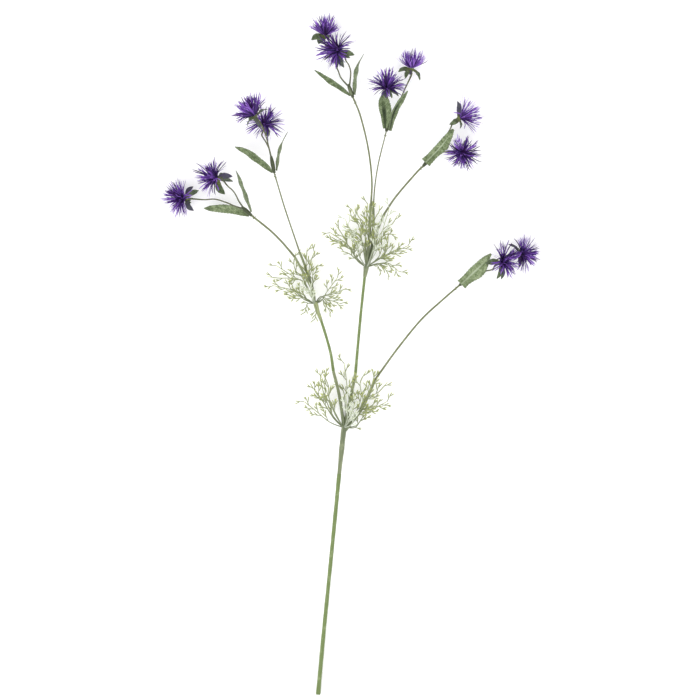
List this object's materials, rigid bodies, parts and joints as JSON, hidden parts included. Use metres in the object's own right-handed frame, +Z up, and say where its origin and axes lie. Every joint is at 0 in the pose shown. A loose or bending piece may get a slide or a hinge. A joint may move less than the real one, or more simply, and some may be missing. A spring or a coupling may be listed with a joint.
{
  "type": "meadow-rue flower spray",
  "caption": "Cut artificial meadow-rue spray with spiky violet heads, folded green leaves and finely divided fronds on a branching stem, lying flat.",
  "frame": {"origin": "centre of the spray's footprint, on the surface it lies on", "axes": "+Y from the cut end towards the top of the spray, +Z up from the surface, +X to the right as seen from above with the cut end near"},
  "size_m": [0.3802, 0.6812, 0.0638],
  "materials": {
    "stem": "satin green plastic over wire",
    "fork": "satin moulded plastic, yellow-green at the frond tips",
    "leaf": "matt printed cloth, sage green with a paler rib",
    "stalk": "satin dark green plastic",
    "calyx": "matt cloth bracts, green shaded purple",
    "head": "matt fibres, dark violet at the root to lilac at the tip"
  },
  "bodies": {
    "root": {"main_stem": "stem", "left_branch": "stem", "middle_branch": "stem", "lower_fork": "fork", "left_fork": "fork", "middle_fork": "fork", "sprig_1_stem": "stem", "sprig_1_sleeve": "stalk", "sprig_1_leaf_a": "leaf", "sprig_1_calyx_a": "calyx", "sprig_1_head_a": "head", "sprig_1_leaf_b": "leaf", "sprig_1_calyx_b": "calyx", "sprig_1_head_b": "head", "sprig_2_stem": "stem", "sprig_2_sleeve": "stalk", "sprig_2_leaf_a": "leaf", "sprig_2_calyx_a": "calyx", "sprig_2_head_a": "head", "sprig_2_leaf_b": "leaf", "sprig_2_calyx_b": "calyx", "sprig_2_head_b": "head", "sprig_3_stem": "stem", "sprig_3_sleeve": "stalk", "sprig_3_leaf_a": "leaf", "sprig_3_calyx_a": "calyx", "sprig_3_head_a": "head", "sprig_3_leaf_b": "leaf", "sprig_3_calyx_b": "calyx", "sprig_3_head_b": "head", "sprig_4_stem": "stem", "sprig_4_sleeve": "stalk", "sprig_4_leaf_a": "leaf", "sprig_4_calyx_a": "calyx", "sprig_4_head_a": "head", "sprig_4_leaf_b": "leaf", "sprig_4_calyx_b": "calyx", "sprig_4_head_b": "head", "sprig_5_stem": "stem", "sprig_5_sleeve": "stalk", "sprig_5_leaf_a": "leaf", "sprig_5_calyx_a": "calyx", "sprig_5_head_a": "head", "sprig_5_leaf_b": "leaf", "sprig_5_calyx_b": "calyx", "sprig_5_head_b": "head", "sprig_6_stem": "stem", "sprig_6_sleeve": "stalk", "sprig_6_leaf_a": "leaf", "sprig_6_calyx_a": "calyx", "sprig_6_head_a": "head", "sprig_6_leaf_b": "leaf", "sprig_6_calyx_b": "calyx", "sprig_6_head_b": "head"}
  },
  "joints": []
}
